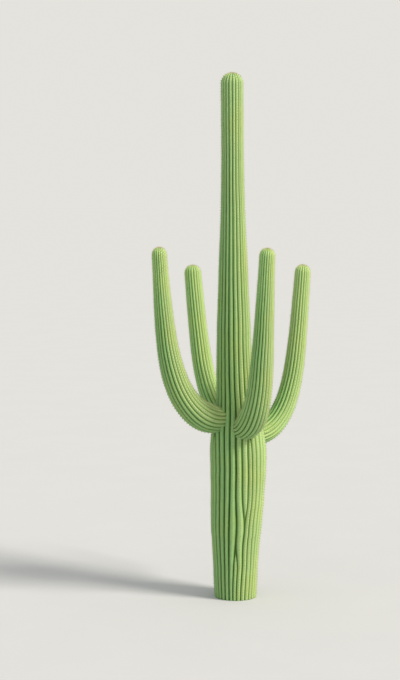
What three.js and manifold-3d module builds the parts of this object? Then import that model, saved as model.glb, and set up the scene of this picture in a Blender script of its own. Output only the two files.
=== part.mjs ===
// A saguaro cactus, rooted in level ground: one pleated trunk and four arms.
//
// The trunk swells to a bulge where the arms leave it, then draws in and runs up as a slim
// column to a blunt dome. Each arm leaves the trunk through a drawn-in neck, sweeps round its
// elbow and climbs nearly upright to a dome of its own. An arm is two solids, the elbow and
// the upright above it. Every surface is pleated lengthwise into ribs and grooves.
//
// Millimetres and degrees. +X is the plant's right and +Y its back, seen from the front, and
// +Z is up. The origin is the middle of the flat cut where the trunk meets the ground.

import * as THREE from 'three';
import { mergeVertices } from 'three/addons/utils/BufferGeometryUtils.js';
import Module from 'manifold-3d';

const wasm = await Module();
wasm.setup();

// The trunk. A radius is measured to the crests of the ribs.
const TRUNK_TOP = 7000;
const TRUNK_RIBS = 24;
const TRUNK_RING_STEP = 300;
const TRUNK_STATIONS = [
  { height: 0, radius: 280 },
  { height: 500, radius: 304 },
  { height: 1200, radius: 350 },
  { height: 1900, radius: 373 },
  { height: 2200, radius: 358 },
  { height: 2650, radius: 266 },
  { height: 3200, radius: 238 },
  { height: 4200, radius: 200 },
  { height: 5300, radius: 157 },
  { height: 6100, radius: 146 },
  { height: 7000, radius: 148 },
];

// The trunk leans a little to its left as it climbs, with a soft swing to the right below
// the arms.
const TRUNK_LEAN = -60;
const SWING = 50;
const SWING_HEIGHT = 1900;
const SWING_REACH = 900;

// The arms. leave: height of the arm's line at the trunk's axis. dip and rise: slope of that
// line at the axis and far up the arm. bend: length over which it turns from one to the
// other. length: along the line, up to the middle of the dome. thick and tip: rib crest
// radius at the axis, were there no neck, and under the dome. heading: the way the arm
// points, turned from +X towards +Y. aside: how far its line passes to the right of the
// trunk's axis, looking along the heading.
const ARMS = [
  { name: 'arm_left_front', heading: 205, aside: 0, leave: 2490, dip: -28, rise: 86.5, bend: 710, length: 2830, thick: 230, tip: 95 },
  { name: 'arm_right_front', heading: 305, aside: 80, leave: 2345, dip: -26, rise: 86, bend: 450, length: 2705, thick: 210, tip: 100 },
  { name: 'arm_right_back', heading: 30, aside: 0, leave: 2265, dip: -34.5, rise: 85.5, bend: 605, length: 2740, thick: 173, tip: 106 },
  { name: 'arm_left_back', heading: 125, aside: 0, leave: 2385, dip: -8.5, rise: 81.5, bend: 640, length: 2455, thick: 164, tip: 114 },
];
const ARM_RIBS = 18;
const ARM_TURN_POWER = 1.3;
const ARM_TAPER_POWER = 1.3;
const NECK_PINCH = 0.2;
const NECK_PLACE = 200;
const NECK_REACH = 200;
const ELBOW_END_SLOPE = 60;
const ELBOW_RINGS = 9;
const UPRIGHT_RINGS = 7;
const ARM_LINE_STEP = 5;

// The pleats and the domes. A groove's depth is a share of the distance between two crests.
const GROOVE_SHARE = 0.55;
const DOME_LATITUDES = [30, 55, 76];

// Clearances: between an elbow and its upright, and round the trunk where an arm leaves it.
const JOINT_GAP = 0.3;
const TRUNK_CLEARANCE = 0.8;

const trunkFlesh = new THREE.MeshStandardMaterial({ color: 0x6b9352, roughness: 0.62, metalness: 0 });
const elbowFlesh = new THREE.MeshStandardMaterial({ color: 0x74a05a, roughness: 0.6, metalness: 0 });
const uprightFlesh = new THREE.MeshStandardMaterial({ color: 0x84b064, roughness: 0.58, metalness: 0 });

// The trunk's rib crest radius at a height: a smooth curve through the stations, whose slope
// at each station is that of the line between its two neighbours.
function trunkRadius(height) {
  const last = TRUNK_STATIONS.length - 1;
  const slopeAt = (i) => {
    const below = TRUNK_STATIONS[Math.max(i - 1, 0)];
    const above = TRUNK_STATIONS[Math.min(i + 1, last)];
    return (above.radius - below.radius) / (above.height - below.height);
  };
  let i = 0;
  while (i < last - 1 && height > TRUNK_STATIONS[i + 1].height) i += 1;
  const from = TRUNK_STATIONS[i];
  const to = TRUNK_STATIONS[i + 1];
  const span = to.height - from.height;
  const t = (height - from.height) / span;
  const rise = t * t * (3 - 2 * t);
  return from.radius * (1 - rise) + to.radius * rise
    + span * slopeAt(i) * t * (1 - t) ** 2
    - span * slopeAt(i + 1) * t * t * (1 - t);
}

// How far the trunk's axis stands to the right of the origin at a height. It starts at zero.
function trunkSway(height) {
  const swing = (h) => SWING * Math.exp(-(((h - SWING_HEIGHT) / SWING_REACH) ** 2));
  return TRUNK_LEAN * (height / TRUNK_TOP) + swing(height) - swing(0);
}

// One closed ring of rib crests and grooves round a centre, in the plane of two unit vectors.
function pleatedRing(center, across, along, radius, ribs) {
  const depth = GROOVE_SHARE * 2 * Math.PI * radius / ribs;
  const points = [];
  for (let i = 0; i < 2 * ribs; i += 1) {
    const angle = Math.PI * i / ribs;
    const reach = i % 2 === 0 ? radius : radius - depth;
    points.push(center.clone()
      .addScaledVector(across, reach * Math.cos(angle))
      .addScaledVector(along, reach * Math.sin(angle)));
  }
  return points;
}

// The rings of a round dome that closes a limb, from just above its rim, without the tip.
function domeRings(center, across, along, radius, ribs) {
  const up = across.clone().cross(along);
  return DOME_LATITUDES.map((degrees) => {
    const latitude = THREE.MathUtils.degToRad(degrees);
    const middle = center.clone().addScaledVector(up, radius * Math.sin(latitude));
    return pleatedRing(middle, across, along, radius * Math.cos(latitude), ribs);
  });
}

// A closed skin over a stack of rings, with a fan from a middle point over each end.
function skin(rings, startMiddle, endMiddle) {
  const count = rings[0].length;
  const points = [...rings.flat(), startMiddle, endMiddle];
  const start = points.length - 2;
  const end = points.length - 1;
  const top = (rings.length - 1) * count;
  const triangles = [];
  for (let i = 0; i < count; i += 1) {
    const next = (i + 1) % count;
    for (let base = 0; base < top; base += count) {
      triangles.push(base + i, base + next, base + count + next);
      triangles.push(base + i, base + count + next, base + count + i);
    }
    triangles.push(start, next, i);
    triangles.push(end, top + i, top + next);
  }
  const geometry = new THREE.BufferGeometry();
  geometry.setFromPoints(points);
  geometry.setIndex(triangles);
  return geometry;
}

// The trunk's solid. extra makes it that much fatter all round, for cutting the arms.
function trunkGeometry(extra) {
  const across = new THREE.Vector3(1, 0, 0);
  const along = new THREE.Vector3(0, 1, 0);
  const axis = (height) => new THREE.Vector3(trunkSway(height), 0, height);
  const rim = TRUNK_TOP - trunkRadius(TRUNK_TOP);
  const steps = Math.ceil(rim / TRUNK_RING_STEP);
  const rings = [];
  for (let k = 0; k <= steps; k += 1) {
    const height = rim * k / steps;
    rings.push(pleatedRing(axis(height), across, along, trunkRadius(height) + extra, TRUNK_RIBS));
  }
  const dome = domeRings(axis(rim), across, along, trunkRadius(TRUNK_TOP) + extra, TRUNK_RIBS);
  const tip = axis(rim).setZ(TRUNK_TOP + extra);
  return skin([...rings, ...dome], axis(0), tip);
}

// The slope of an arm's line, in degrees above level, at a distance along it.
function armSlope(arm, distance) {
  const turned = Math.exp(-((distance / arm.bend) ** ARM_TURN_POWER));
  return arm.rise - (arm.rise - arm.dip) * turned;
}

// The distance along an arm's line at which its slope has come up to a given one.
function distanceAtSlope(arm, slope) {
  const turned = (arm.rise - slope) / (arm.rise - arm.dip);
  return arm.bend * (-Math.log(turned)) ** (1 / ARM_TURN_POWER);
}

// The rib crest radius at a distance along an arm's line: a taper, drawn in at the neck.
function armRadius(arm, distance) {
  const left = Math.max(1 - distance / arm.length, 0);
  const taper = arm.tip + (arm.thick - arm.tip) * left ** ARM_TAPER_POWER;
  const neck = Math.exp(-(((distance - NECK_PLACE) / NECK_REACH) ** 2));
  return taper * (1 - NECK_PINCH * neck);
}

// The point of an arm's line at a distance along it, in the arm's own upright plane, found
// by adding up short steps along the slope.
function armPoint(arm, distance) {
  const steps = Math.ceil(distance / ARM_LINE_STEP);
  const point = new THREE.Vector3();
  for (let k = 0; k < steps; k += 1) {
    const step = distance / steps;
    const slope = THREE.MathUtils.degToRad(armSlope(arm, step * (k + 0.5)));
    point.x += step * Math.cos(slope);
    point.z += step * Math.sin(slope);
  }
  return point;
}

// The solid of a stretch of an arm, ending flat, or in a dome if it reaches the arm's tip.
function armGeometry(arm, from, to, ringCount) {
  const along = new THREE.Vector3(0, -1, 0);
  const acrossAt = (distance) => {
    const slope = THREE.MathUtils.degToRad(armSlope(arm, distance));
    return new THREE.Vector3(-Math.sin(slope), 0, Math.cos(slope));
  };
  const rings = [];
  for (let k = 0; k < ringCount; k += 1) {
    const distance = from + (to - from) * k / (ringCount - 1);
    rings.push(pleatedRing(armPoint(arm, distance), acrossAt(distance), along, armRadius(arm, distance), ARM_RIBS));
  }
  let end = armPoint(arm, to);
  if (to === arm.length) {
    rings.push(...domeRings(end, acrossAt(to), along, arm.tip, ARM_RIBS));
    end = end.addScaledVector(acrossAt(to).cross(along), arm.tip);
  }
  return skin(rings, armPoint(arm, from), end);
}

function toManifold(geometry) {
  const bare = geometry.clone();
  bare.deleteAttribute('normal');
  bare.deleteAttribute('uv');
  const merged = mergeVertices(bare);
  return new wasm.Manifold(new wasm.Mesh({
    numProp: 3,
    vertProperties: new Float32Array(merged.attributes.position.array),
    triVerts: new Uint32Array(merged.index.array),
  }));
}

function fromManifold(solid) {
  const mesh = solid.getMesh();
  const geometry = new THREE.BufferGeometry();
  geometry.setAttribute('position', new THREE.BufferAttribute(mesh.vertProperties, 3));
  geometry.setIndex(new THREE.BufferAttribute(mesh.triVerts, 1));
  return geometry;
}

// What a cut leaves, without the slivers it leaves in the grooves.
function largestBody(solid) {
  const bodies = solid.decompose();
  return bodies.reduce((best, body) => (body.volume() > best.volume() ? body : best));
}

function namedMesh(name, geometry, material) {
  geometry.computeVertexNormals();
  const mesh = new THREE.Mesh(geometry, material);
  mesh.name = name;
  return mesh;
}

// One arm as a turned group: the elbow, cut to the trunk's surface, and the upright on it.
function buildArm(arm) {
  const heading = THREE.MathUtils.degToRad(arm.heading);
  const group = new THREE.Group();
  group.position.set(
    trunkSway(arm.leave) + arm.aside * Math.sin(heading),
    -arm.aside * Math.cos(heading),
    arm.leave,
  );
  group.rotation.z = heading;
  group.updateMatrixWorld();

  const split = distanceAtSlope(arm, ELBOW_END_SLOPE);
  const trunkHere = trunkGeometry(TRUNK_CLEARANCE).applyMatrix4(group.matrixWorld.clone().invert());
  const wholeElbow = armGeometry(arm, 0, split, ELBOW_RINGS);
  const elbow = largestBody(toManifold(wholeElbow).subtract(toManifold(trunkHere)));
  const upright = armGeometry(arm, split + JOINT_GAP, arm.length, UPRIGHT_RINGS);

  group.add(namedMesh(`${arm.name}_elbow`, fromManifold(elbow), elbowFlesh));
  group.add(namedMesh(`${arm.name}_upright`, upright, uprightFlesh));
  return group;
}

const saguaro = new THREE.Group();
saguaro.add(namedMesh('trunk', trunkGeometry(0), trunkFlesh));
for (const arm of ARMS) saguaro.add(buildArm(arm));

export default saguaro;
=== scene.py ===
import math

import bpy
import numpy as np
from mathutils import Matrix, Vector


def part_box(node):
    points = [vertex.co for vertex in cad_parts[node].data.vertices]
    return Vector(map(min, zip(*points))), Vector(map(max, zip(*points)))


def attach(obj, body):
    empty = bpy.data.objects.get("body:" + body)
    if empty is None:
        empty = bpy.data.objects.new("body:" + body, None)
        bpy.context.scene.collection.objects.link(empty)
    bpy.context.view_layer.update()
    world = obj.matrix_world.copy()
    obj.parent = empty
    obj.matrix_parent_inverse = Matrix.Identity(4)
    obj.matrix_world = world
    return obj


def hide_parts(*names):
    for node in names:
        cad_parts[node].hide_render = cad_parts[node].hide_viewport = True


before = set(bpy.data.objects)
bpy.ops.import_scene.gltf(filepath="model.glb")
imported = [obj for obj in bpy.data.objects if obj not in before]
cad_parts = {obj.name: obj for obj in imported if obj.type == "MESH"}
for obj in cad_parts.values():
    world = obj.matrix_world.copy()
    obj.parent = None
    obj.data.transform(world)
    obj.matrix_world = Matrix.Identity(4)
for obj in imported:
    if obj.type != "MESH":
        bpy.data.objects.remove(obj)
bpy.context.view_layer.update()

# A saguaro cactus: the fine surface of its pleated trunk and arms, with the felt and the spines
# that grow along their ribs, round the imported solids. Metres, +Z up, and +Y is the plant's back.

# ------------------------------------------------------------------------------------------------
# The trunk. The real one is a water-filled column under a tough, waxy green skin, pleated
# lengthwise so that it can swell after rain. Most ribs run from the ground to the crown, and
# where the column is thick more ribs have grown in between them.

TRUNK_HEIGHTS = (0, 0.5, 1.2, 1.9, 2.2, 2.65, 3.2, 4.2, 5.3, 6.1, 7.0)
TRUNK_RADII = (0.280, 0.304, 0.350, 0.373, 0.358, 0.266, 0.238, 0.200, 0.157, 0.146, 0.148)
TRUNK_LEAN = -0.060         # how far the tip stands to the right of the foot
SWING = 0.050               # how far the axis swings out to the right, at SWING_HEIGHT
SWING_HEIGHT = 1.9
SWING_REACH = 0.9

RING_STEP = 0.0185          # two rings to each step from one areole to the next on a rib
RIB_COLUMNS = 8             # columns of vertices across one rib
GROOVE_SHARE = 0.50         # a groove's depth as a share of the distance between two ribs
LOBE_POWER = 0.55           # below 1 it makes broad crests and narrow grooves
ABSENT = 0.04               # the width left to a rib where it has died out
FULL = 0.8                  # the width from which a rib stands at its full height
DOME_BLUNTNESS = 0.8        # below 1 it makes a dome blunter than a half ball
DOME_END = 86               # the latitude of a dome's last ring, in degrees
POLE_PROUD = 0.002          # how far a dome's pole stands over its last ring
AREOLE_SWELL = 0.0014       # how far a crest swells under an areole
AREOLE_SHARPNESS = 8        # the power of the rib's lobe that keeps that swelling on the crest
LIT_SIDE = np.array((0.79, -0.41, 0.46))   # the side that faces the key light, whose skin is painted lighter and yellower: painted light
LIT_SIDE_START = 0.10          # the painted light starts where the normal's share along that side is this
LIT_SIDE_SPAN = 0.80           # and is full where it is this much more
UNEVEN = 0.006              # how uneven a limb's radius is, as a share of it
RIB_UNEVEN = 0.04           # how uneven the ribs' widths are, as a share of them
YOUNG_FROM = 4.5            # the height from which the trunk's skin gets younger
YOUNG_OVER = 3.0            # the height over which it would turn quite young

# The ribs in their order round the trunk, rightwards from the first one's left groove, which stays
# put. Each is (bottom, top, width): the heights between which it stands, tapering away at its
# ends, and its width against the others'.
GROUND, CROWN = -1.0, 9.0
TRUNK_RIBS = (
    (GROUND, CROWN, 1.08), (GROUND, 0.86, 0.80), (GROUND, CROWN, 1.05), (0.96, CROWN, 1.12),
    (GROUND, 2.45, 0.80), (GROUND, CROWN, 0.88), (GROUND, CROWN, 1.0), (GROUND, CROWN, 1.0),
    (GROUND, 2.50, 1.0), (GROUND, CROWN, 1.0), (GROUND, 4.90, 1.0), (GROUND, CROWN, 1.0),
    (GROUND, 2.40, 1.0), (GROUND, CROWN, 1.0), (GROUND, CROWN, 1.0), (GROUND, 0.75, 1.0),
    (GROUND, CROWN, 1.0), (GROUND, CROWN, 1.0), (GROUND, 2.60, 1.0), (GROUND, CROWN, 1.0),
    (GROUND, CROWN, 1.0), (GROUND, 2.40, 1.0), (GROUND, CROWN, 1.0), (GROUND, CROWN, 1.0),
    (GROUND, 5.20, 1.0), (GROUND, CROWN, 1.0), (GROUND, 0.50, 1.0), (GROUND, CROWN, 1.0),
    (GROUND, 2.45, 1.0), (GROUND, CROWN, 1.0), (GROUND, CROWN, 1.05), (GROUND, CROWN, 1.0),
)
RIB_END = 0.48              # the height over which a rib tapers away
# Where a rib is wider or narrower than its neighbours for a stretch, as beside a rib's end:
# (its place in the order, middle height, reach, extra width).
RIB_SWELLS = ((0, 0.94, 0.32, 0.34), (0, 0.10, 0.40, -0.20), (2, 0.94, 0.36, 0.42),
              (4, 0.20, 0.60, 0.22), (5, 0.20, 0.60, 0.22))
FIRST_GROOVE = 252          # degrees from +X towards +Y


def smooth_step(value):
    """0 below 0, 1 above 1, and between them the cubic that leaves and arrives level."""
    t = np.clip(value, 0, 1)
    return t * t * (3 - 2 * t)


def smooth_through(places, values, at):
    """The curve through the stations: on each span a cubic, whose slope at each station is that
    of the straight line between the station's two neighbours."""
    places, values = np.asarray(places, float), np.asarray(values, float)
    index = np.arange(len(places))
    below, above = np.maximum(index - 1, 0), np.minimum(index + 1, len(places) - 1)
    slope = (values[above] - values[below]) / (places[above] - places[below])
    i = np.clip(np.searchsorted(places, at, side="right") - 1, 0, len(places) - 2)
    span = places[i + 1] - places[i]
    t = (at - places[i]) / span
    rise = t * t * (3 - 2 * t)
    bend = slope[i] * t * (1 - t) ** 2 - slope[i + 1] * t * t * (1 - t)
    return values[i] * (1 - rise) + values[i + 1] * rise + span * bend


def trunk_radius(height):
    return smooth_through(TRUNK_HEIGHTS, TRUNK_RADII, height)


def trunk_sway(height):
    """How far the axis stands to the right: a straight lean, and a swing that is a bell curve of
    the height, counted from the ground."""
    def swing(at):
        return SWING * np.exp(-((at - SWING_HEIGHT) / SWING_REACH) ** 2)
    return TRUNK_LEAN * height / trunk_top + swing(height) - swing(0)


def slow_waves(rng, along, count, longest):
    """count smooth random curves of the distance along a limb: sums of three sine waves, each
    shorter and weaker than the one before, of random phase."""
    waves = np.zeros((len(along), count))
    for order in range(1, 4):
        length = longest / order ** 1.4
        phase = rng.uniform(0, 2 * math.pi, count)
        waves += np.sin(2 * math.pi * along[:, None] / length + phase) / order
    return waves


def pleated_limb(centre, across, along, latitude, crest, distance, weights, anchor):
    """The pleated surface of a limb on a grid of rings and columns.

    Each ring is shared out among the ribs by their weights, starting from the anchor angle. Across
    a rib the surface rises from the groove by a power of the sine, and a rib of little weight
    rises less. The groove's depth is a share of the ring's mean rib width, and is taken along the
    surface's normal, which leans from the radius towards the limb's end by the dome's latitude."""
    share = weights / weights.sum(axis=1, keepdims=True)
    edge = anchor + 2 * math.pi * (np.cumsum(share, axis=1) - share)
    step = np.arange(RIB_COLUMNS) / RIB_COLUMNS
    angle = edge[:, :, None] + 2 * math.pi * share[:, :, None] * step
    lobe = np.sin(math.pi * step) ** LOBE_POWER
    stands = smooth_step((weights - ABSENT) / (FULL - ABSENT))
    rise = lobe * stands[:, :, None]
    depth = GROOVE_SHARE * 2 * math.pi * crest / weights.sum(axis=1)
    rings, ribs = weights.shape
    here = (np.arange(rings)[:, None] + np.arange(ribs)) % 2 == 0
    swell = AREOLE_SWELL * here[:, :, None] * lobe ** AREOLE_SHARPNESS * stands[:, :, None]

    def flat(grid):
        return grid.reshape(rings, ribs * RIB_COLUMNS)

    angle = flat(angle)
    sunk = flat(depth[:, None, None] * (1 - rise) - swell)
    up = np.cross(across, along)
    cosine, sine = np.cos(angle), np.sin(angle)
    radial = cosine[:, :, None] * across[:, None] + sine[:, :, None] * along[:, None]
    lean = latitude[:, None, None]
    normal = np.cos(lean) * radial + np.sin(lean) * up[:, None]
    points = centre[:, None] + crest[:, None, None] * radial - sunk[:, :, None] * normal
    straight = np.stack([crest[:, None] * cosine, crest[:, None] * sine,
                         np.broadcast_to(distance[:, None], angle.shape)], axis=2)
    middle = slice(RIB_COLUMNS // 2, None, RIB_COLUMNS)
    return {
        "points": points, "straight": straight, "groove": 1 - flat(rise), "up": up,
        # The share of the lit colours painted on, by how far the normal faces the key light's
        # side: painted light.
        "painted_lit_share": smooth_step((normal @ LIT_SIDE - LIT_SIDE_START) / LIT_SIDE_SPAN),
        "crest_point": points[:, middle], "crest_normal": normal[:, middle],
        "stands": stands, "here": here,
    }


def build_mesh(name, points, faces, materials, smooth=True):
    """Puts vertices and groups of faces with like numbers of corners into a new object."""
    mesh = bpy.data.meshes.new(name)
    corners = np.concatenate([group.ravel() for group in faces])
    counts = np.concatenate([np.full(len(group), group.shape[1]) for group in faces])
    mesh.vertices.add(len(points))
    mesh.vertices.foreach_set("co", np.ascontiguousarray(points, np.float32).ravel())
    mesh.loops.add(len(corners))
    mesh.loops.foreach_set("vertex_index", corners.astype(np.int32))
    mesh.polygons.add(len(counts))
    mesh.polygons.foreach_set("loop_start", (np.cumsum(counts) - counts).astype(np.int32))
    mesh.polygons.foreach_set("use_smooth", np.full(len(counts), smooth))
    mesh.update(calc_edges=True)
    for material in materials:
        mesh.materials.append(material)
    piece = bpy.data.objects.new(name, mesh)
    bpy.context.collection.objects.link(piece)
    return piece


def skin_piece(name, limb, material):
    """The closed skin of a limb: quads between its rings, and a fan over each end. Its map runs
    round the limb in u and along it in v."""
    rings, columns = limb["points"].shape[:2]
    pole = limb["points"][-1].mean(axis=0) + limb["up"][-1] * POLE_PROUD
    ends = [limb["points"][0].mean(axis=0), pole]
    points = np.concatenate([limb["points"].reshape(-1, 3), ends])
    ring, column = np.meshgrid(np.arange(rings - 1), np.arange(columns), indexing="ij")
    after = (column + 1) % columns
    quads = np.stack([ring * columns + column, ring * columns + after,
                      (ring + 1) * columns + after, (ring + 1) * columns + column], axis=-1)
    round_it = np.arange(columns)
    next_one = (round_it + 1) % columns
    first, last = rings * columns, rings * columns + 1
    top = (rings - 1) * columns
    start_fan = np.stack([np.full(columns, first), next_one, round_it], axis=-1)
    end_fan = np.stack([np.full(columns, last), top + round_it, top + next_one], axis=-1)
    piece = build_mesh(name, points, [quads.reshape(-1, 4), start_fan, end_fan], [material])

    u0, u1 = column / columns, (column + 1) / columns
    v0, v1 = (ring + 1) / (rings + 1), (ring + 2) / (rings + 1)
    quad_map = np.stack([u0, v0, u1, v0, u1, v1, u0, v1], axis=-1)
    a, b = round_it / columns, (round_it + 1) / columns
    low, high = np.full(columns, 1 / (rings + 1)), np.full(columns, rings / (rings + 1))
    start_map = np.stack([(a + b) / 2, 0 * a, b, low, a, low], axis=-1)
    end_map = np.stack([(a + b) / 2, 0 * a + 1, a, high, b, high], axis=-1)
    places = np.concatenate([quad_map.ravel(), start_map.ravel(), end_map.ravel()])
    piece.data.uv_layers.new(name="OFBake").data.foreach_set("uv", places.astype(np.float32))

    groove = np.concatenate([limb["groove"].ravel(), [0.5, 0.5]])
    painted_lit_share = np.concatenate([limb["painted_lit_share"].ravel(), limb["painted_lit_share"][[0, -1]].mean(axis=1)])
    youth = np.repeat(limb["youth"], columns)
    youth = np.concatenate([youth, [limb["youth"][0], limb["youth"][-1]]])
    straight = np.concatenate([limb["straight"].reshape(-1, 3), limb["straight"][[0, -1], 0]])
    # The material paints shade by the groove attribute and paints light by the share of painted
    # light.
    for attribute, values in (("groove", groove), ("youth", youth), ("painted_lit_share", painted_lit_share)):
        made = piece.data.attributes.new(attribute, "FLOAT", "POINT")
        made.data.foreach_set("value", values.astype(np.float32))
    made = piece.data.attributes.new("straight", "FLOAT_VECTOR", "POINT")
    made.data.foreach_set("vector", straight.astype(np.float32).ravel())
    return piece


class Wire:
    """One socket of a material's nodes. Arithmetic on it adds Math nodes."""

    def __init__(self, tree, socket=None):
        self.tree = tree
        self.socket = socket

    def node(self, kind, settings=(), inputs=(), output=0):
        """Adds a node of any type: its settings first, then the values or wires of its inputs. It
        gives back one output, or nothing where the node has none."""
        made = self.tree.nodes.new(kind)
        for name, value in dict(settings).items():
            setattr(made, name, value)
        for place, value in dict(inputs).items():
            if isinstance(value, Wire):
                self.tree.links.new(value.socket, made.inputs[place])
            else:
                made.inputs[place].default_value = value
        return Wire(self.tree, made.outputs[output]) if len(made.outputs) else None

    def math(self, operation, *values):
        return self.node("ShaderNodeMath", {"operation": operation}, dict(enumerate(values)))

    def __add__(self, other):
        return self.math("ADD", self, other)

    def __radd__(self, other):
        return self.math("ADD", other, self)

    def __sub__(self, other):
        return self.math("SUBTRACT", self, other)

    def __rsub__(self, other):
        return self.math("SUBTRACT", other, self)

    def __mul__(self, other):
        return self.math("MULTIPLY", self, other)

    def __rmul__(self, other):
        return self.math("MULTIPLY", other, self)

    def between(self, low, high):
        """0 where the wire is under low, 1 over high, and a smooth step between."""
        settings = {"interpolation_type": "SMOOTHSTEP"}
        return self.node("ShaderNodeMapRange", settings, {0: self, 1: low, 2: high})

    def mix(self, first, second):
        """The first colour where this wire is 0 and the second where it is 1."""
        inputs = {"Factor": self, 6: first, 7: second}
        return self.node("ShaderNodeMix", {"data_type": "RGBA"}, inputs, output=2)


def new_material(name):
    material = bpy.data.materials.new(name)
    material.use_nodes = True
    material.node_tree.nodes.clear()
    return material, Wire(material.node_tree)


NOISE_ROUGHNESS = 0.55


def noise(wire, vector, scale, detail):
    inputs = {"Vector": vector, "Scale": scale, "Detail": detail, "Roughness": NOISE_ROUGHNESS}
    return wire.node("ShaderNodeTexNoise", {}, inputs)


# The skin's colouring. The groove attribute runs from 0 on a rib's crest to 1 in a groove, and the
# pairs are the values between which one thing gives way to another. The skin darkens from crest to
# flank to groove: painted shade in the pleats.
CREST_TO_FLANK = (0.0, 0.34)
FLANK_TO_GROOVE = (0.28, 0.64)
YOUNG_LESS_GROOVE_SHADE = 0.35        # how much of the painted groove shade young skin lacks
YOUNG_SHARE = 0.6           # how much of the young colour the youngest skin takes
YELLOWED = (1.12, 1.0, 0.84, 1)
CORK_COLOR = (0.30, 0.26, 0.16, 1)
CORK_SPOTS = (0.70, 0.74)
RELIEF = 0.003
SKIN_ROUGHNESS = 0.48
SKIN_GLOSS = 0.2


def skin_material(name, shaded, painted_lit):
    """Waxy green skin, patterned on the limb as if it were straight. It takes four colours for the
    skin in shade and four lighter, yellower ones that paint its lit side, mixed by the share of
    painted light: those of the crests, the flanks, the grooves and the young crests. The flanks
    and the grooves are darker than the crests: painted shade in the pleats. It is mottled along
    the ribs, stippled with pale stomata, flecked here and there with cork, and finely wrinkled
    across the ribs."""
    material, wire = new_material(name)
    straight = wire.node("ShaderNodeAttribute", {"attribute_name": "straight"}, output="Vector")
    groove = wire.node("ShaderNodeAttribute", {"attribute_name": "groove"}, output="Fac")
    youth = wire.node("ShaderNodeAttribute", {"attribute_name": "youth"}, output="Fac")
    painted_lit_share = wire.node("ShaderNodeAttribute", {"attribute_name": "painted_lit_share"}, output="Fac")

    def stretched(across, along):
        inputs = {"Vector": straight, "Scale": (across, across, along)}
        return wire.node("ShaderNodeMapping", {}, inputs)

    streaks = noise(wire, stretched(1.0, 0.16), 26.0, 4.0)
    patches = noise(wire, stretched(1.0, 0.6), 3.2, 2.0)
    mottle = noise(wire, stretched(1.0, 0.7), 55.0, 3.0)
    stipple = noise(wire, straight, 160.0, 2.0)
    wrinkles = noise(wire, stretched(0.22, 1.0), 95.0, 2.0)
    grain = noise(wire, straight, 420.0, 2.0)

    # Each colour is mixed from its copy in shade and its painted lit copy by the share of painted
    # light.
    crest, flank, groove_shade, young = (
        painted_lit_share.mix((*dark, 1), (*pale, 1)) for dark, pale in zip(shaded, painted_lit))
    # How deep into a pleat a point lies, roughened by the streaks and the mottle: the darkening
    # from crest to flank along it is painted shade.
    pleat_shade_depth = groove + 0.25 * (streaks - 0.5) + 0.20 * (mottle - 0.5)
    open_skin = 1 - groove.between(0.3, 0.7)
    color = pleat_shade_depth.between(*CREST_TO_FLANK).mix(crest, flank)
    color = (youth * open_skin * YOUNG_SHARE).mix(color, young)
    yellow = wire.node("ShaderNodeMix", {"data_type": "RGBA", "blend_type": "MULTIPLY"},
                       {"Factor": 1.0, 6: color, 7: YELLOWED}, output=2)
    color = (patches.between(0.42, 0.70) * 0.7).mix(color, yellow)
    dark_dots = mottle.between(0.54, 0.66) * open_skin
    color = (dark_dots * 0.45).mix(color, flank)
    pale_dots = stipple.between(0.58, 0.68) * open_skin
    color = (pale_dots * 0.35).mix(color, young)
    # The groove colour is painted shade, lighter on young skin.
    color = (pleat_shade_depth.between(*FLANK_TO_GROOVE) * (1 - YOUNG_LESS_GROOVE_SHADE * youth)).mix(color, groove_shade)
    cork = noise(wire, stretched(1.0, 0.7), 34.0, 3.0).between(*CORK_SPOTS)
    color = (cork * (1 - youth) * 0.55).mix(color, CORK_COLOR)

    wrinkled = wrinkles * groove.between(0.0, 0.3)
    height = wrinkled * 0.8 + grain * 0.25 + stipple * 0.3 + mottle * 0.5
    bump = wire.node("ShaderNodeBump", {}, {"Strength": 0.6, "Distance": RELIEF, "Height": height})
    roughness = SKIN_ROUGHNESS + 0.2 * groove + 0.15 * streaks
    shader = wire.node("ShaderNodeBsdfPrincipled", {}, {
        "Base Color": color, "Roughness": roughness, "Normal": bump,
        "Specular IOR Level": SKIN_GLOSS})
    wire.node("ShaderNodeOutputMaterial", {}, {"Surface": shader})
    return material


def dome(rim_centre, up, radius):
    """A blunt dome over a limb's rim: latitudes at even steps of arc, from just above the rim to
    near the pole, each with its ring's centre and its radius, a power of the cosine."""
    count = round(math.pi / 2 * radius / RING_STEP)
    latitude = math.radians(DOME_END) * np.arange(1, count + 1) / count
    centre = rim_centre + up * radius * np.sin(latitude)[:, None]
    return latitude, centre, radius * np.cos(latitude) ** DOME_BLUNTNESS


UP = np.array([0, 0, 1.0])
trunk_low, trunk_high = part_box("trunk")
trunk_top = trunk_high[2]
rng = np.random.default_rng(11)
trunk_rim = trunk_top - TRUNK_RADII[-1]
height = np.linspace(0, trunk_rim, round(trunk_rim / RING_STEP) + 1)
axis = np.stack([trunk_sway(height), 0 * height, height], axis=1)
latitude, dome_centre, dome_radius = dome(axis[-1], UP, TRUNK_RADII[-1])
centre = np.concatenate([axis, dome_centre])
distance = np.concatenate([height, trunk_rim + TRUNK_RADII[-1] * latitude])
uneven = 1 + UNEVEN * slow_waves(rng, height, 1, 0.9)[:, 0]
crest = np.concatenate([trunk_radius(height) * uneven, dome_radius])
latitude = np.concatenate([0 * height, latitude])

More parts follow.
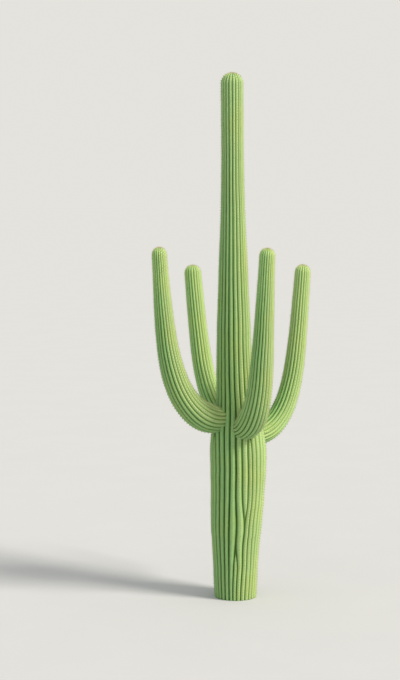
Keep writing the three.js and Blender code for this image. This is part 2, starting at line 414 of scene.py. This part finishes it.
bottoms, tops, widths = np.array(TRUNK_RIBS).T
begun = smooth_step((distance[:, None] - bottoms) / RIB_END)
going_on = smooth_step((tops - distance[:, None]) / RIB_END)
uneven = 1 + RIB_UNEVEN * slow_waves(rng, distance, len(TRUNK_RIBS), 3.2)
weights = ABSENT + (widths - ABSENT) * (begun * going_on) * uneven
for rib, middle, reach, extra in RIB_SWELLS:
    weights[:, rib] += extra * np.exp(-((distance - middle) / reach) ** 2)
rings = len(centre)
trunk = pleated_limb(centre, np.tile([1.0, 0, 0], (rings, 1)), np.tile([0, 1.0, 0], (rings, 1)),
                     latitude, crest, distance, weights, math.radians(FIRST_GROOVE))
trunk["youth"] = smooth_step((distance - YOUNG_FROM) / YOUNG_OVER)
# The first four colours are the skin in shade; the second four paint its lit side lighter and
# yellower: painted light. The groove colours are painted shade.
trunk_material = skin_material(
    "trunk_skin",
    shaded=((0.255, 0.480, 0.182), (0.168, 0.352, 0.105), (0.030, 0.090, 0.013),
            (0.35, 0.56, 0.23)),
    painted_lit=((0.400, 0.560, 0.230), (0.330, 0.490, 0.176), (0.155, 0.295, 0.064),
              (0.39, 0.57, 0.25)))
trunk_skin = skin_piece("trunk_pleats", trunk, trunk_material)
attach(trunk_skin, "root")
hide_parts("trunk")

# ------------------------------------------------------------------------------------------------
# The arms. Each is a stem of its own that budded from an areole of the trunk: it leaves through a
# drawn-in neck, bends up and climbs, in the same skin as the trunk's but younger and brighter.
# An arm's line lies in an upright plane that passes the trunk's axis by aside, on the right-hand
# side looking along its heading. Its slope turns from dip to rise along the bend. Its skin's youth
# is that of its foot; the back arms' raised youth also paints them paler, partly painted light.
# The
# last pair is how much more of the lit colours is painted on all of it, at its foot and at its
# tip:
# painted light, on the front arms' elbows, up the right back arm and a little over the left back
# arm.

ARMS = {
    "arm_left_front": {"heading": 205, "aside": 0, "dip": -28, "rise": 86.5, "bend": 0.710,
                       "length": 2.830, "thick": 0.230, "tip": 0.095, "ribs": 20,
                       "youth": 0.10, "lit_paint": (0.32, 0)},
    "arm_right_front": {"heading": 305, "aside": 0.080, "dip": -26, "rise": 86, "bend": 0.450,
                        "length": 2.705, "thick": 0.210, "tip": 0.100, "ribs": 20,
                        "youth": 0.10, "lit_paint": (0.32, 0)},
    "arm_right_back": {"heading": 30, "aside": 0, "dip": -34.5, "rise": 85.5, "bend": 0.605,
                       "length": 2.740, "thick": 0.173, "tip": 0.106, "ribs": 18,
                       "youth": 0.45, "lit_paint": (0, 0.60)},
    "arm_left_back": {"heading": 125, "aside": 0, "dip": -8.5, "rise": 81.5, "bend": 0.640,
                      "length": 2.455, "thick": 0.164, "tip": 0.114, "ribs": 18,
                      "youth": 0.80, "lit_paint": (0.10, 0.10)},
}
TURN_POWER = 1.3
TAPER_POWER = 1.3
NECK_PINCH = 0.2            # the share by which an arm is drawn in at its neck
NECK_PLACE = 0.2
NECK_REACH = 0.2
ROOT_START = 0.12           # how far from the trunk's axis an arm's skin starts, well inside it
LINE_POINTS = 600           # the points at which an arm's line is summed up
ARM_RIB_UNEVEN = 0.035
YOUTH_RATE = 1.6            # from about half way up an arm its skin turns young
YOUTH_DELAY = 0.75
LIT_PAINT_RATE = 2.2           # from a quarter to two thirds of the way up its painted light changes
LIT_PAINT_DELAY = 0.5


def arm_limb(arm, top, rng):
    """The pleated surface of an arm, hung from its highest point.

    The slope of its line is rise, less what is left of the turn, which dies away as the
    exponential of a power of the distance. The line is the running sum of short steps along that
    slope. The crest radius is a taper by a power of the length left, drawn in by a bell curve at
    the neck."""
    rim = arm["length"]
    count = round((rim - ROOT_START) / RING_STEP) + 1
    line = np.linspace(0, rim, LINE_POINTS)

    def slope_at(distance):
        turned = np.exp(-((distance / arm["bend"]) ** TURN_POWER))
        return np.radians(arm["rise"] - (arm["rise"] - arm["dip"]) * turned)

    middle = (line[1:] + line[:-1]) / 2
    out_sum = np.concatenate([[0], np.cumsum(np.cos(slope_at(middle)) * np.diff(line))])
    up_sum = np.concatenate([[0], np.cumsum(np.sin(slope_at(middle)) * np.diff(line))])
    distance = np.linspace(ROOT_START, rim, count)
    slope = slope_at(distance)
    out, climb = np.interp(distance, line, out_sum), np.interp(distance, line, up_sum)
    taper = arm["tip"] + (arm["thick"] - arm["tip"]) * (1 - distance / rim) ** TAPER_POWER
    crest = taper * (1 - NECK_PINCH * np.exp(-((distance - NECK_PLACE) / NECK_REACH) ** 2))
    crest *= 1 + UNEVEN * slow_waves(rng, distance, 1, 0.8)[:, 0]

    heading = math.radians(arm["heading"])
    level = np.array([math.cos(heading), math.sin(heading), 0])
    along = np.array([math.sin(heading), -math.cos(heading), 0])
    leave = top - arm["tip"] - up_sum[-1]
    root = np.array([trunk_sway(leave), 0, leave]) + arm["aside"] * along
    centre = root + out[:, None] * level + climb[:, None] * UP
    across = -np.sin(slope)[:, None] * level + np.cos(slope)[:, None] * UP
    tip_up = np.cross(across[-1], along)
    latitude, dome_centre, dome_radius = dome(centre[-1], tip_up, arm["tip"])
    extra = len(latitude)
    distance = np.concatenate([distance, rim + arm["tip"] * latitude])
    weights = 1 + ARM_RIB_UNEVEN * slow_waves(rng, distance, arm["ribs"], 2.8)
    limb = pleated_limb(np.concatenate([centre, dome_centre]),
                        np.concatenate([across, np.tile(across[-1], (extra, 1))]),
                        np.tile(along, (count + extra, 1)),
                        np.concatenate([0 * slope, latitude]),
                        np.concatenate([crest, dome_radius]),
                        distance, weights, rng.uniform(0, 1))
    younger = smooth_step(YOUTH_RATE * distance / rim - YOUTH_DELAY)
    limb["youth"] = arm["youth"] + (1 - arm["youth"]) * younger
    # Painted light added over the arm's skin, changing from foot to tip: more of its lit colours.
    farther = smooth_step(LIT_PAINT_RATE * distance / rim - LIT_PAINT_DELAY)
    painted_lit = np.interp(farther, (0, 1), arm["lit_paint"])[:, None]
    limb["painted_lit_share"] = limb["painted_lit_share"] + painted_lit * (1 - limb["painted_lit_share"])
    return limb


# The first four colours are the skin in shade; the second four paint its lit side lighter and
# yellower: painted light. The groove colours are painted shade.
arm_material = skin_material(
    "arm_skin",
    shaded=((0.200, 0.438, 0.150), (0.127, 0.320, 0.083), (0.028, 0.098, 0.012),
            (0.38, 0.69, 0.235)),
    painted_lit=((0.415, 0.550, 0.235), (0.355, 0.505, 0.190), (0.225, 0.375, 0.097),
              (0.48, 0.69, 0.27)))
arms = {}
for name, arm in ARMS.items():
    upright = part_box(f"{name}_upright")
    arms[name] = arm_limb(arm, upright[1][2], rng)
    arm_skin = skin_piece(f"{name}_pleats", arms[name], arm_material)
    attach(arm_skin, "root")
    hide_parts(f"{name}_elbow", f"{name}_upright")

# ------------------------------------------------------------------------------------------------
# The areoles: small cushions of grey-tan felt in a row down the crest of every rib, from which
# the spines grow. Two neighbouring ribs carry theirs at staggered heights.

FELT_ACROSS = 0.0052        # half a cushion's width
FELT_ALONG = 0.0075         # half its length
FELT_PROUD = 0.0038
FELT_SUNK = 0.002
FELT_SIDES = 6
FELT_SIZES = (0.8, 1.15)
STANDING = 0.7              # a rib carries areoles where it stands at this share of its height
OFF_THE_GROUND = 0.02
OVER_THE_ARMS_FEET = 3.4    # from this height up no arm is inside the trunk


def areoles_of(limb):
    """The places of a limb's areoles with the surface's normal and the rib's direction there:
    every other ring of each rib that stands, staggered from rib to rib, above the ground and
    clear of the trunk's inside. Over a dome they crowd together as the ribs do."""
    point, normal = limb["crest_point"], limb["crest_normal"]
    upward = np.gradient(point, axis=0)
    upward /= np.maximum(np.linalg.norm(upward, axis=2, keepdims=True), 1e-9)
    height = point[:, :, 2]
    shown = limb["here"] & (limb["stands"] > STANDING) & (height > OFF_THE_GROUND)
    if limb is not trunk:
        from_axis = np.hypot(point[:, :, 0] - trunk_sway(height), point[:, :, 1])
        outside = from_axis > trunk_radius(np.clip(height, 0, trunk_top))
        shown &= outside | (height > OVER_THE_ARMS_FEET)
    youth = np.broadcast_to(limb["youth"][:, None], shown.shape)
    return {"point": point[shown], "normal": normal[shown], "up": upward[shown],
            "youth": youth[shown]}


def felt_pads(name, areoles, materials, rng):
    """A flat cushion on each areole: a ring of corners, a crown point over it and a point sunk
    in the skin below it."""
    point, normal, up = areoles["point"], areoles["normal"], areoles["up"]
    side = np.cross(up, normal)
    turn = 2 * math.pi * np.arange(FELT_SIDES) / FELT_SIDES
    size = rng.uniform(*FELT_SIZES, (len(point), 1, 1))
    rim = (point[:, None] + size * (FELT_ACROSS * np.cos(turn)[:, None] * side[:, None]
                                    + FELT_ALONG * np.sin(turn)[:, None] * up[:, None]))
    crown = point[:, None] + FELT_PROUD * normal[:, None]
    root = point[:, None] - FELT_SUNK * normal[:, None]
    corners = np.concatenate([rim, crown, root], axis=1)
    first = (FELT_SIDES + 2) * np.arange(len(point))[:, None]
    here, after = np.arange(FELT_SIDES), (np.arange(FELT_SIDES) + 1) % FELT_SIDES
    over = np.stack([here, after, np.full(FELT_SIDES, FELT_SIDES)], axis=1)
    under = np.stack([after, here, np.full(FELT_SIDES, FELT_SIDES + 1)], axis=1)
    faces = (first[:, :, None] + np.concatenate([over, under])).reshape(-1, 3)
    piece = build_mesh(name, corners.reshape(-1, 3), [faces], materials)
    pale = areoles["youth"] > rng.uniform(0.3, 1.0, len(point))
    dealt = np.repeat(pale, 2 * FELT_SIDES).astype(np.int32)
    piece.data.polygons.foreach_set("material_index", dealt)
    return piece


def plain_material(name, color, roughness):
    material, wire = new_material(name)
    shader = wire.node("ShaderNodeBsdfPrincipled", {}, {
        "Base Color": (*color, 1), "Roughness": roughness, "Specular IOR Level": 0.3})
    wire.node("ShaderNodeOutputMaterial", {}, {"Surface": shader})
    return material


felt_materials = [plain_material("felt_old", (0.27, 0.26, 0.17), 0.95),
                  plain_material("felt_young", (0.52, 0.48, 0.30), 0.95)]
places = {"trunk": areoles_of(trunk)}
for name, limb in arms.items():
    places[name] = areoles_of(limb)
for name, areoles in places.items():
    felt = felt_pads(f"{name}_felt", areoles, felt_materials, rng)
    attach(felt, "root")

# ------------------------------------------------------------------------------------------------
# The spines: stiff, horn-like needles, in a flat star of thin radial ones round each areole and a
# few stouter central ones that stand out and down. They are straw-coloured and grey, and some of
# the central ones red-brown.

# How many on an areole, their length, the radius of their foot, how far they are lifted from the
# skin in degrees, the share of a turn that they spread over, and the shares of the colours.
RADIALS = {"count": 7, "length": 0.015, "radius": 0.0007, "lift": 24, "spread": 2 * math.pi,
           "deal": (0.55, 0.40, 0.05)}
CENTRALS = {"count": 3, "length": 0.025, "radius": 0.0009, "lift": 50, "spread": math.pi,
            "deal": (0.50, 0.36, 0.14)}
SPINE_LENGTHS = (0.7, 1.2)
TURN_JITTER = 0.3
LIFT_JITTER = 14
FOOT_PROUD = 0.0015
SPINE_COLORS = {
    "straw": (0.56, 0.52, 0.28),
    "grey": (0.38, 0.38, 0.27),
    "red_brown": (0.25, 0.17, 0.09),
}


def needles(name, areoles, kind, materials, rng):
    """Closed three-sided needles of one kind on each areole. A needle points round the areole at
    an even share of a turn within the kind's spread, lifted from the skin, both a little at
    random. Its colour is dealt at random in the shares given, and more often the first colour
    where the limb is young."""
    total, count, spread = len(areoles["point"]), kind["count"], kind["spread"]
    up, normal = areoles["up"][:, None], areoles["normal"][:, None]
    side = np.cross(up, normal)
    jitter = rng.uniform(-TURN_JITTER, TURN_JITTER, (total, count))
    turn = spread * (np.arange(count) + jitter) / count + math.pi
    turn = turn - spread * (count - 1) / count / 2
    rise = np.radians(kind["lift"] + rng.uniform(-LIFT_JITTER, LIFT_JITTER, (total, count)))
    turn, rise = turn[:, :, None], rise[:, :, None]
    aim = np.sin(rise) * normal + np.cos(rise) * (np.cos(turn) * up + np.sin(turn) * side)
    first = np.cross(aim, normal + 0.3 * up)
    first /= np.linalg.norm(first, axis=2, keepdims=True)
    second = np.cross(aim, first)
    foot = areoles["point"][:, None] + FOOT_PROUD * normal
    reach = kind["length"] * rng.uniform(*SPINE_LENGTHS, (total, count, 1))
    corners = []
    for third in range(3):
        a = 2 * math.pi * third / 3
        corners.append(foot + kind["radius"] * (math.cos(a) * first + math.sin(a) * second))
    corners.append(foot + reach * aim)
    corners = np.stack(corners, axis=2).reshape(-1, 3)
    shape = np.array([[0, 2, 1], [0, 1, 3], [1, 2, 3], [2, 0, 3]])
    faces = (4 * np.arange(total * count)[:, None, None] + shape).reshape(-1, 3)
    piece = build_mesh(name, corners, [faces], materials, smooth=False)
    dealt = rng.choice(len(materials), size=total * count, p=kind["deal"])
    young = np.repeat(areoles["youth"], count) > rng.uniform(0.4, 1.2, total * count)
    dealt = np.where(young, 0, dealt)
    piece.data.polygons.foreach_set("material_index", np.repeat(dealt, 4).astype(np.int32))
    return piece


spine_materials = [plain_material(f"spine_{name}", color, 0.55)
                   for name, color in SPINE_COLORS.items()]
for name, areoles in places.items():
    radials = needles(f"{name}_radial_spines", areoles, RADIALS, spine_materials, rng)
    centrals = needles(f"{name}_central_spines", areoles, CENTRALS, spine_materials, rng)
    for spines in (radials, centrals):
        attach(spines, "root")

# ------------------------------------------------------------------------------------------------
# The studio: a pale floor, a wide soft key light from the right and the front, and pale walls all
# round that fill the shadows.

FLOOR_REACH = 1500.0
FLOOR_DARKER = (0.484, 0.502, 0.521, 1)
FLOOR_LIGHTER = (0.509, 0.527, 0.547, 1)
floor_material, floor_wire = new_material("floor")
floor_place = floor_wire.node("ShaderNodeTexCoord", output="Object")
floor_color = noise(floor_wire, floor_place, 0.8, 3.0).mix(FLOOR_DARKER, FLOOR_LIGHTER)
floor_shader = floor_wire.node("ShaderNodeBsdfPrincipled", {}, {
    "Base Color": floor_color, "Roughness": 0.9, "Specular IOR Level": 0.0})
floor_wire.node("ShaderNodeOutputMaterial", {}, {"Surface": floor_shader})
floor_corners = FLOOR_REACH * np.array([[-1, -1, 0], [1, -1, 0], [1, 1, 0], [-1, 1, 0]])
floor_corners = floor_corners + [0, 0, trunk_low[2]]
floor = build_mesh("floor", floor_corners, [np.array([[0, 1, 2, 3]])], [floor_material])

KEY_STRENGTH = 3.7
KEY_FROM = (0.90, -0.42, 0.90)
KEY_COLOR = (1.0, 0.91, 0.80)
KEY_SPREAD = 18             # how wide the light looks, in degrees: it softens the shadows
WALLS_COLOR = (1.0, 0.98, 0.93, 1)
WALLS_STRENGTH = 0.78
key = bpy.data.lights.new("key", "SUN")
key.energy = KEY_STRENGTH
key.color = KEY_COLOR
key.angle = math.radians(KEY_SPREAD)
key_lamp = bpy.data.objects.new("key", key)
bpy.context.collection.objects.link(key_lamp)
azimuth = math.atan2(KEY_FROM[1], KEY_FROM[0])
tilt = math.atan2(math.hypot(KEY_FROM[0], KEY_FROM[1]), KEY_FROM[2])
key_lamp.rotation_euler = (0, tilt, azimuth)

world = bpy.data.worlds.new("walls")
world.use_nodes = True
walls = world.node_tree.nodes["Background"]
walls.inputs["Color"].default_value = WALLS_COLOR
walls.inputs["Strength"].default_value = WALLS_STRENGTH
bpy.context.scene.world = world
bpy.context.scene.view_settings.view_transform = "Standard"

# The eye stands three plant heights away, at three quarters of the plant's height, and looks a
# little down and to the left.
EYE_DISTANCE = 20.9
EYE_HEIGHT = 5.274
LOOK_DOWN = 4.919           # degrees
LOOK_LEFT = 1.317           # degrees
LENS = 83.2                 # millimetres, on a sensor 36 wide
SENSOR = 36
SIGHT_END = 5000            # past the floor's corners
camera = bpy.data.cameras.new("camera")
camera.lens = LENS
camera.sensor_width = SENSOR
camera.clip_end = SIGHT_END
eye = bpy.data.objects.new("camera", camera)
bpy.context.collection.objects.link(eye)
eye.location = (0, -EYE_DISTANCE, EYE_HEIGHT)
eye.rotation_euler = (math.radians(90 - LOOK_DOWN), 0, math.radians(LOOK_LEFT))
bpy.context.scene.camera = eye
